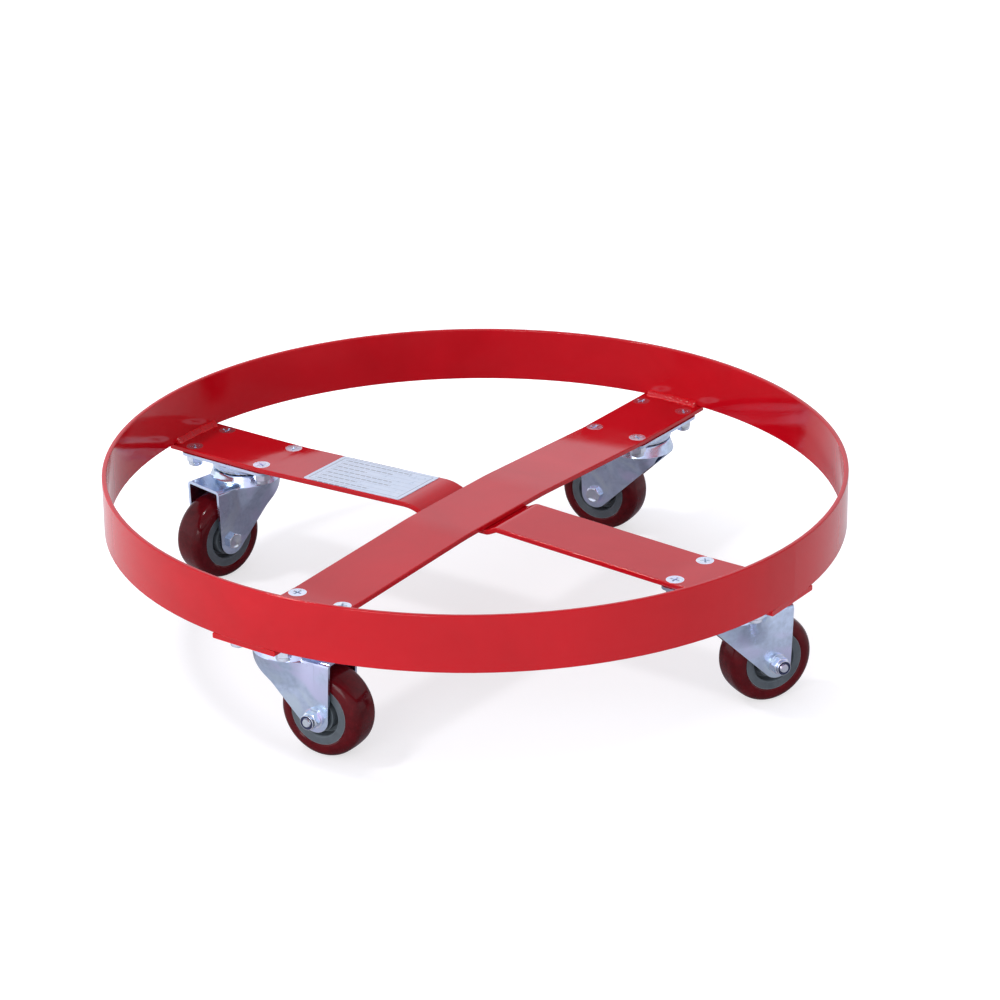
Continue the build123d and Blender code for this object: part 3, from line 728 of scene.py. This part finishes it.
materials = {
    "red_enamel": red_enamel(),
    "zinc_sheet": zinc("zinc_sheet", (0.63, 0.755, 0.975), 45.0, 0.21),
    "zinc_fasteners": zinc("zinc_fasteners", (0.74, 0.82, 0.94), 160.0, 0.16),
    "maroon_polyurethane": polyurethane(),
    "grey_core": grey_core(),
    "bearing_steel": bearing_steel(),
    "silver_label": data_plate(),
}
nylon = nylon_insert()

# every node of the model takes the finish of its slot
for subpart in frame["record"]["subparts"]:
    node_mesh = frame["nodes"][subpart["node"]].data
    node_mesh.materials.clear()
    node_mesh.materials.append(materials[subpart["material_slot"]])

# ---------------------------------------------------------------- welds
beads = [ring_weld(quarter * pi / 2, quarter) for quarter in range(4)]
beads += [crossing_weld(side, 10 + side) for side in (-1, 1)]
make_piece(
    "rippled_welds",
    joined(beads),
    materials["red_enamel"],
    "frame",
    replaced=["weld_beads"],
    sharp_angle=60,
)

# ---------------------------------------------------------------- lock nuts and axle bolts
plate_nut_shells, plate_insert_shells = [], []
for index, caster in enumerate(casters):
    spin = joints[f"{caster}_wheel_spin"]
    swivel = joints[f"{caster}_swivel"]
    fork_body = spin["parent"]
    across = Vector(spin["axis"])
    up = Vector((0, 0, 1))
    trail = across.cross(up)
    axle = Matrix((up, trail, across)).transposed().to_4x4()
    axle.translation = Vector(spin["pos_m"])
    # the washer's middle is half its thickness beyond the leg
    washer_low, washer_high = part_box(f"{caster}_axle_washer")
    washer_middle = ((washer_low + washer_high) / 2 - axle.translation).dot(-across)
    leg_face = washer_middle - washer_thickness / 2
    nut_seat = -(leg_face + washer_thickness)
    tail_end = nut_seat - nut_height - bolt_protrusion
    flip = Matrix.Translation((0, 0, nut_seat)) @ Matrix.Rotation(pi, 4, "X")
    turn = Matrix.Rotation(radians(17 + 23 * index), 4, "Z")
    make_piece(
        f"{caster}_lock_nut",
        placed(lock_nut(), axle @ flip @ turn),
        materials["zinc_fasteners"],
        fork_body,
        replaced=[f"{caster}_axle_nut"],
    )
    make_piece(f"{caster}_nut_insert", placed(nut_insert(), axle @ flip), nylon, fork_body)
    make_piece(
        f"{caster}_threaded_bolt",
        placed(axle_bolt(leg_face, tail_end, nut_seat + 6 * MM), axle @ turn),
        materials["zinc_fasteners"],
        fork_body,
        replaced=[f"{caster}_axle_bolt"],
    )
    centre = Vector(swivel["pos_m"])
    fork_place = Matrix((trail, up.cross(trail), up)).transposed().to_4x4()
    fork_place.translation = (centre.x, centre.y, 0)
    make_piece(
        f"{caster}_pressed_fork",
        placed(fork_skin(), fork_place),
        materials["zinc_sheet"],
        fork_body,
        replaced=[f"{caster}_fork"],
        wall=sheet_thickness,
    )
    outward = Vector((centre.x, centre.y, 0)).normalized()
    beside = up.cross(outward)
    for i, a in enumerate((-0.5, 0.5)):
        for j, b in enumerate((-0.5, 0.5)):
            seat = centre + outward * a * plate_bolt_spacing[0] + beside * b * plate_bolt_spacing[1]
            spot = Matrix.Translation((seat.x, seat.y, plate_underside)) @ Matrix.Rotation(pi, 4, "X")
            spot = spot @ Matrix.Rotation(radians(11 + 31 * i + 47 * j + 19 * index), 4, "Z")
            plate_nut_shells.append(placed(lock_nut(), spot))
            plate_insert_shells.append(placed(nut_insert(), spot))
make_piece(
    "plate_lock_nuts",
    joined(plate_nut_shells),
    materials["zinc_fasteners"],
    "frame",
    replaced=["plate_nuts"],
)
make_piece("plate_nut_inserts", joined(plate_insert_shells), nylon, "frame")


# ---------------------------------------------------------------- studio
def studio():
    """Plain pale floor, surroundings that are brightest near the horizon, and two softboxes."""
    scene = bpy.context.scene
    scene.view_settings.view_transform = "Standard"
    world = bpy.data.worlds.new("studio")
    world.use_nodes = True
    tree = world.node_tree
    shader = tree.nodes["Background"]
    direction = add(tree, "ShaderNodeTexCoord").outputs["Generated"]
    parts = add(tree, "ShaderNodeSeparateXYZ", {0: direction}).outputs
    height = stretch(tree, parts[2], 0.40, 0.85, 1.15, 0.38)
    left_x = calc(tree, "MULTIPLY", parts[0], -0.16)
    left_y = calc(tree, "MULTIPLY", parts[1], -0.12)
    leftness = calc(tree, "ADD", left_x, left_y)
    strength = calc(tree, "MULTIPLY", height, calc(tree, "ADD", leftness, 1.0))
    tree.links.new(strength, shader.inputs["Strength"])
    shader.inputs["Color"].default_value = rgb(0.97, 0.97, 1.06)
    scene.world = world

    half = 8.0
    mesh = bpy.data.meshes.new("floor")
    corners = [(-half, -half, 0), (half, -half, 0), (half, half, 0), (-half, half, 0)]
    mesh.from_pydata(corners, [], [(0, 1, 2, 3)])
    floor = bpy.data.objects.new("floor", mesh)
    scene.collection.objects.link(floor)
    material, tree, shader, where = new_material("floor", {"Roughness": 0.8, "Specular IOR Level": 0.0})
    # darker where the object shades it, and with a glow that only the camera sees
    far = add(tree, "ShaderNodeVectorMath", {0: where}, operation="LENGTH").outputs["Value"]
    shade = stretch(tree, far, 0.24, 0.46)
    grey = mix(tree, shade, rgb(0.42, 0.42, 0.44), rgb(0.86, 0.86, 0.86))
    tree.links.new(grey, shader.inputs["Base Color"])
    seen = add(tree, "ShaderNodeLightPath").outputs["Is Camera Ray"]
    glow = mix(tree, seen, rgb(0.0, 0.0, 0.0), rgb(1.0, 1.0, 1.0))
    tree.links.new(glow, shader.inputs["Emission Color"])
    shader.inputs["Emission Strength"].default_value = 0.62
    mesh.materials.append(material)

    for name, place, size, power in (
        ("high_softbox", Vector((-1.2, -1.0, 2.6)), 0.40, 26.0),
        ("front_softbox", Vector((0.6, -2.9, 1.3)), 1.3, 30.0),
    ):
        light = bpy.data.lights.new(name, "AREA")
        light.shape = "SQUARE"
        light.size = size
        light.energy = power
        lamp = bpy.data.objects.new(name, light)
        lamp.location = place
        lamp.rotation_euler = (Vector((0, 0, 0.1)) - place).to_track_quat("-Z", "Y").to_euler()
        scene.collection.objects.link(lamp)


def camera():
    """The camera stands off from the point it looks at, rolled a little about its line of sight."""
    data = bpy.data.cameras.new("camera")
    data.lens = camera_lens
    data.sensor_width = 36.0
    data.clip_end = 50.0
    azimuth, elevation = radians(camera_azimuth), radians(camera_elevation)
    back = Vector((sin(azimuth) * cos(elevation), -cos(azimuth) * cos(elevation), sin(elevation)))
    eye = bpy.data.objects.new("camera", data)
    eye.location = look_at + back * camera_distance
    aim = (-back).to_track_quat("-Z", "Y").to_matrix()
    eye.rotation_euler = (aim @ Matrix.Rotation(radians(camera_roll), 3, "Z")).to_euler()
    bpy.context.scene.collection.objects.link(eye)
    bpy.context.scene.camera = eye


studio()
camera()
